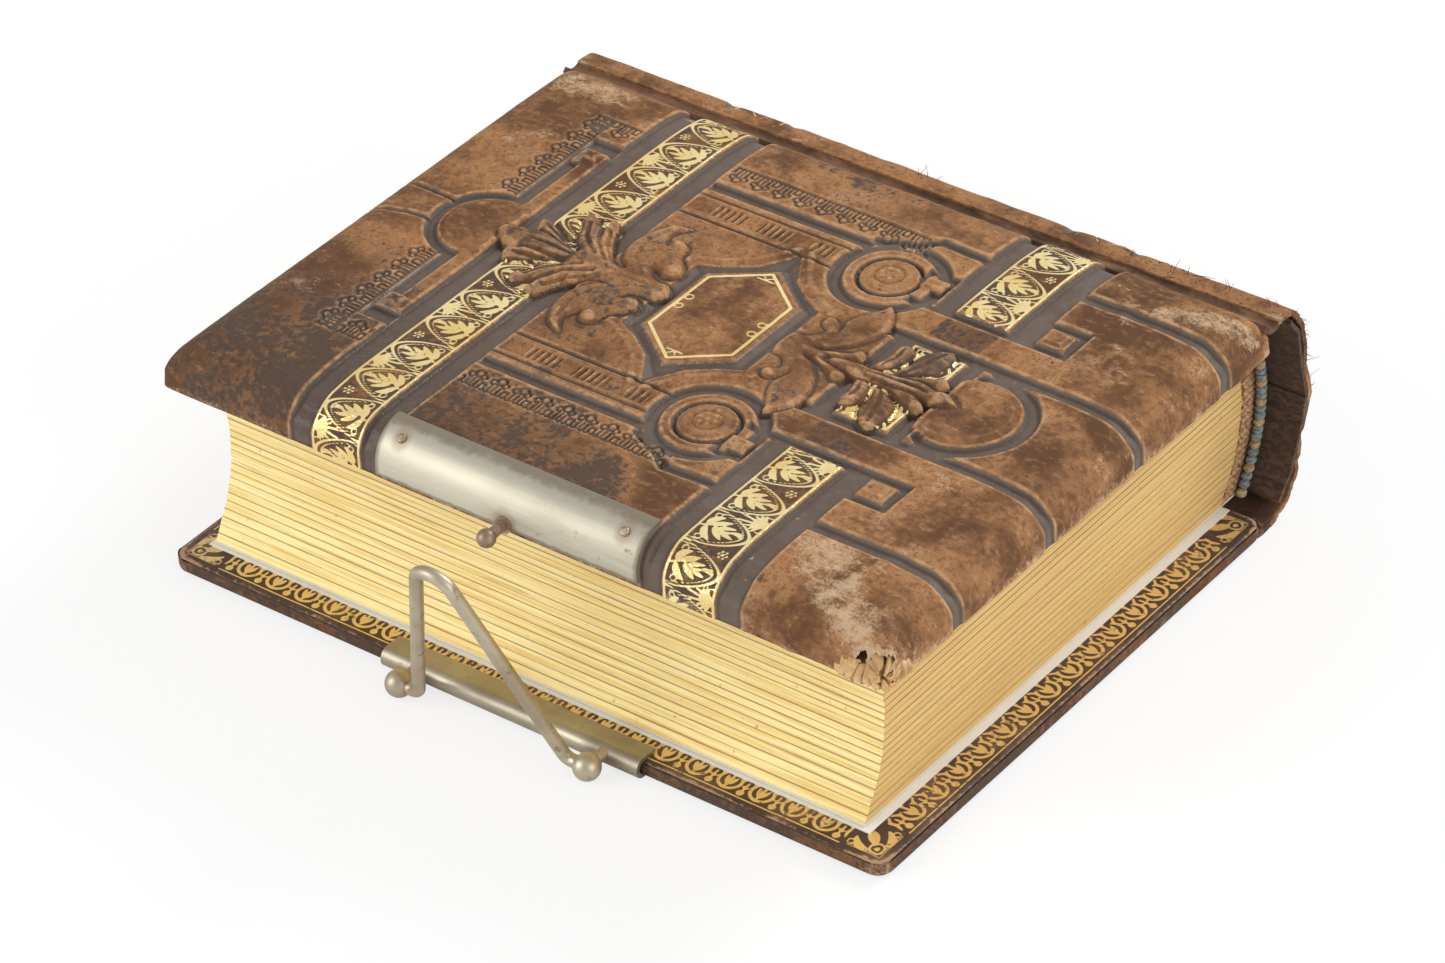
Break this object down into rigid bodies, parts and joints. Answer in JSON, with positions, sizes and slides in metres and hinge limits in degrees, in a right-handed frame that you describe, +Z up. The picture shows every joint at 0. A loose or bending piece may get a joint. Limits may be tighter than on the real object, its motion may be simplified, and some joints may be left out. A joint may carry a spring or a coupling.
{
  "type": "clasped prayer book",
  "caption": "Thick leather-bound devotional book with a padded embossed front cover, gilt stiff leaves, a creased hollow spine and a swinging wire clasp.",
  "frame": {"origin": "centre of the underside of the closed book's back cover", "axes": "+X along the fore edge, +Y towards the spine, +Z up through the covers"},
  "size_m": [0.15, 0.1458, 0.047],
  "materials": {
    "suede_leather": "worn brown suede-like leather, pressed and gilt",
    "cover_board": "pasteboard",
    "padding": "cotton wadding",
    "endpaper": "white paper",
    "gilt_leaf": "stiff leaf with gilt edges",
    "band_cloth": "striped blue-grey and gold cord",
    "linen": "brown linen",
    "spine_liner": "brown card",
    "nickel": "tarnished nickel-plated brass",
    "rivet_bronze": "browned brass"
  },
  "bodies": {
    "back_cover": {"back_leather": "suede_leather", "back_board": "cover_board", "back_infill": "cover_board", "back_pastedown": "endpaper", "clasp_plate": "nickel", "clasp_lug_left": "nickel", "clasp_lug_right": "nickel"},
    "spine_lower": {"spine_leather_lower": "suede_leather", "spine_liner_lower": "spine_liner"},
    "spine_upper": {"spine_leather_upper": "suede_leather", "spine_liner_upper": "spine_liner"},
    "front_cover": {"front_leather": "suede_leather", "front_board": "cover_board", "front_padding": "padding", "front_infill": "cover_board", "front_pastedown": "endpaper", "catch_plate": "nickel", "catch_rivets": "rivet_bronze", "catch_stud": "rivet_bronze"},
    "clasp_bail": {"clasp_bail": "nickel"},
    "leaf_01": {"leaf_01": "gilt_leaf", "back_flyleaf": "endpaper"},
    "leaf_02": {"leaf_02": "gilt_leaf"},
    "leaf_03": {"leaf_03": "gilt_leaf"},
    "leaf_04": {"leaf_04": "gilt_leaf"},
    "leaf_05": {"leaf_05": "gilt_leaf"},
    "leaf_06": {"leaf_06": "gilt_leaf"},
    "leaf_07": {"leaf_07": "gilt_leaf"},
    "leaf_08": {"leaf_08": "gilt_leaf"},
    "leaf_09": {"leaf_09": "gilt_leaf"},
    "leaf_10": {"leaf_10": "gilt_leaf"},
    "leaf_11": {"leaf_11": "gilt_leaf"},
    "leaf_12": {"leaf_12": "gilt_leaf"},
    "leaf_13": {"leaf_13": "gilt_leaf", "back_lining": "linen", "head_band": "band_cloth", "tail_band": "band_cloth"},
    "leaf_14": {"leaf_14": "gilt_leaf"},
    "leaf_15": {"leaf_15": "gilt_leaf"},
    "leaf_16": {"leaf_16": "gilt_leaf"},
    "leaf_17": {"leaf_17": "gilt_leaf"},
    "leaf_18": {"leaf_18": "gilt_leaf"},
    "leaf_19": {"leaf_19": "gilt_leaf"},
    "leaf_20": {"leaf_20": "gilt_leaf"},
    "leaf_21": {"leaf_21": "gilt_leaf"},
    "leaf_22": {"leaf_22": "gilt_leaf"},
    "leaf_23": {"leaf_23": "gilt_leaf"},
    "leaf_24": {"leaf_24": "gilt_leaf"},
    "leaf_25": {"leaf_25": "gilt_leaf", "front_flyleaf": "endpaper"}
  },
  "joints": [
    {"name": "back_joint", "type": "hinge", "parent": "back_cover", "child": "spine_lower", "pos_m": [0, 0.0588, 0], "axis": [-1, 0, 0], "range_deg": [0, 46], "deforming": ["back_lining", "head_band", "tail_band"]},
    {"name": "spine_crease", "type": "hinge", "parent": "spine_lower", "child": "spine_upper", "pos_m": [0, 0.07111, 0.02129], "axis": [-1, 0, 0], "range_deg": [0, 76]},
    {"name": "front_joint", "type": "hinge", "parent": "spine_upper", "child": "front_cover", "pos_m": [0, 0.06, 0.04175], "axis": [-1, 0, 0], "range_deg": [0, 58]},
    {"name": "leaf_01_turn", "type": "hinge", "parent": "back_cover", "child": "leaf_01", "pos_m": [0, 0.0595, 0.0033], "axis": [-1, 0, 0], "range_deg": [0, 1.82]},
    {"name": "leaf_02_turn", "type": "hinge", "parent": "leaf_01", "child": "leaf_02", "pos_m": [0, 0.06037, 0.00492], "axis": [-1, 0, 0], "range_deg": [0, 2.99]},
    {"name": "leaf_03_turn", "type": "hinge", "parent": "leaf_02", "child": "leaf_03", "pos_m": [0, 0.06117, 0.00624], "axis": [-1, 0, 0], "range_deg": [0, 3.67]},
    {"name": "leaf_04_turn", "type": "hinge", "parent": "leaf_03", "child": "leaf_04", "pos_m": [0, 0.06191, 0.00756], "axis": [-1, 0, 0], "range_deg": [0, 4.21]},
    {"name": "leaf_05_turn", "type": "hinge", "parent": "leaf_04", "child": "leaf_05", "pos_m": [0, 0.06259, 0.00888], "axis": [-1, 0, 0], "range_deg": [0, 4.65]},
    {"name": "leaf_06_turn", "type": "hinge", "parent": "leaf_05", "child": "leaf_06", "pos_m": [0, 0.0632, 0.0102], "axis": [-1, 0, 0], "range_deg": [0, 5.04]},
    {"name": "leaf_07_turn", "type": "hinge", "parent": "leaf_06", "child": "leaf_07", "pos_m": [0, 0.06375, 0.01152], "axis": [-1, 0, 0], "range_deg": [0, 5.39]},
    {"name": "leaf_08_turn", "type": "hinge", "parent": "leaf_07", "child": "leaf_08", "pos_m": [0, 0.06423, 0.01284], "axis": [-1, 0, 0], "range_deg": [0, 5.71]},
    {"name": "leaf_09_turn", "type": "hinge", "parent": "leaf_08", "child": "leaf_09", "pos_m": [0, 0.06465, 0.01416], "axis": [-1, 0, 0], "range_deg": [0, 6]},
    {"name": "leaf_10_turn", "type": "hinge", "parent": "leaf_09", "child": "leaf_10", "pos_m": [0, 0.06501, 0.01548], "axis": [-1, 0, 0], "range_deg": [0, 6.28]},
    {"name": "leaf_11_turn", "type": "hinge", "parent": "leaf_10", "child": "leaf_11", "pos_m": [0, 0.0653, 0.0168], "axis": [-1, 0, 0], "range_deg": [0, 6.53]},
    {"name": "leaf_12_turn", "type": "hinge", "parent": "leaf_11", "child": "leaf_12", "pos_m": [0, 0.06553, 0.01812], "axis": [-1, 0, 0], "range_deg": [0, 6.77]},
    {"name": "leaf_13_turn", "type": "hinge", "parent": "leaf_12", "child": "leaf_13", "pos_m": [0, 0.06569, 0.01944], "axis": [-1, 0, 0], "range_deg": [0, 7]},
    {"name": "leaf_14_turn", "type": "hinge", "parent": "leaf_13", "child": "leaf_14", "pos_m": [0, 0.06579, 0.02076], "axis": [-1, 0, 0], "range_deg": [0, 7.22]},
    {"name": "leaf_15_turn", "type": "hinge", "parent": "leaf_14", "child": "leaf_15", "pos_m": [0, 0.06583, 0.02208], "axis": [-1, 0, 0], "range_deg": [0, 7.43]},
    {"name": "leaf_16_turn", "type": "hinge", "parent": "leaf_15", "child": "leaf_16", "pos_m": [0, 0.0658, 0.0234], "axis": [-1, 0, 0], "range_deg": [0, 7.63]},
    {"name": "leaf_17_turn", "type": "hinge", "parent": "leaf_16", "child": "leaf_17", "pos_m": [0, 0.06571, 0.02472], "axis": [-1, 0, 0], "range_deg": [0, 7.83]},
    {"name": "leaf_18_turn", "type": "hinge", "parent": "leaf_17", "child": "leaf_18", "pos_m": [0, 0.06555, 0.02604], "axis": [-1, 0, 0], "range_deg": [0, 8.01]},
    {"name": "leaf_19_turn", "type": "hinge", "parent": "leaf_18", "child": "leaf_19", "pos_m": [0, 0.06533, 0.02736], "axis": [-1, 0, 0], "range_deg": [0, 8.19]},
    {"name": "leaf_20_turn", "type": "hinge", "parent": "leaf_19", "child": "leaf_20", "pos_m": [0, 0.06505, 0.02868], "axis": [-1, 0, 0], "range_deg": [0, 8.37]},
    {"name": "leaf_21_turn", "type": "hinge", "parent": "leaf_20", "child": "leaf_21", "pos_m": [0, 0.0647, 0.03], "axis": [-1, 0, 0], "range_deg": [0, 8.54]},
    {"name": "leaf_22_turn", "type": "hinge", "parent": "leaf_21", "child": "leaf_22", "pos_m": [0, 0.06429, 0.03132], "axis": [-1, 0, 0], "range_deg": [0, 8.7]},
    {"name": "leaf_23_turn", "type": "hinge", "parent": "leaf_22", "child": "leaf_23", "pos_m": [0, 0.06381, 0.03264], "axis": [-1, 0, 0], "range_deg": [0, 8.86]},
    {"name": "leaf_24_turn", "type": "hinge", "parent": "leaf_23", "child": "leaf_24", "pos_m": [0, 0.06327, 0.03396], "axis": [-1, 0, 0], "range_deg": [0, 9.02]},
    {"name": "leaf_25_turn", "type": "hinge", "parent": "leaf_24", "child": "leaf_25", "pos_m": [0, 0.06267, 0.03528], "axis": [-1, 0, 0], "range_deg": [0, 9.17]},
    {"name": "clasp_swing", "type": "hinge", "parent": "back_cover", "child": "clasp_bail", "pos_m": [0, -0.0615, 0.0026], "axis": [1, 0, 0], "range_deg": [-25, 74.3]}
  ],
  "couplings": [
    {"joint": "spine_crease", "follows": "back_joint", "ratio": 1.6522},
    {"joint": "front_joint", "follows": "back_joint", "ratio": 1.2609},
    {"joint": "leaf_01_turn", "follows": "back_joint", "ratio": 0.039592},
    {"joint": "leaf_02_turn", "follows": "back_joint", "ratio": 0.064892},
    {"joint": "leaf_03_turn", "follows": "back_joint", "ratio": 0.079839},
    {"joint": "leaf_04_turn", "follows": "back_joint", "ratio": 0.091413},
    {"joint": "leaf_05_turn", "follows": "back_joint", "ratio": 0.10111},
    {"joint": "leaf_06_turn", "follows": "back_joint", "ratio": 0.10958},
    {"joint": "leaf_07_turn", "follows": "back_joint", "ratio": 0.11717},
    {"joint": "leaf_08_turn", "follows": "back_joint", "ratio": 0.12408},
    {"joint": "leaf_09_turn", "follows": "back_joint", "ratio": 0.13045},
    {"joint": "leaf_10_turn", "follows": "back_joint", "ratio": 0.13639},
    {"joint": "leaf_11_turn", "follows": "back_joint", "ratio": 0.14196},
    {"joint": "leaf_12_turn", "follows": "back_joint", "ratio": 0.14723},
    {"joint": "leaf_13_turn", "follows": "back_joint", "ratio": 0.15222},
    {"joint": "leaf_14_turn", "follows": "back_joint", "ratio": 0.15698},
    {"joint": "leaf_15_turn", "follows": "back_joint", "ratio": 0.16153},
    {"joint": "leaf_16_turn", "follows": "back_joint", "ratio": 0.1659},
    {"joint": "leaf_17_turn", "follows": "back_joint", "ratio": 0.1701},
    {"joint": "leaf_18_turn", "follows": "back_joint", "ratio": 0.17416},
    {"joint": "leaf_19_turn", "follows": "back_joint", "ratio": 0.17807},
    {"joint": "leaf_20_turn", "follows": "back_joint", "ratio": 0.18186},
    {"joint": "leaf_21_turn", "follows": "back_joint", "ratio": 0.18554},
    {"joint": "leaf_22_turn", "follows": "back_joint", "ratio": 0.1891},
    {"joint": "leaf_23_turn", "follows": "back_joint", "ratio": 0.19258},
    {"joint": "leaf_24_turn", "follows": "back_joint", "ratio": 0.19595},
    {"joint": "leaf_25_turn", "follows": "back_joint", "ratio": 0.19925}
  ]
}
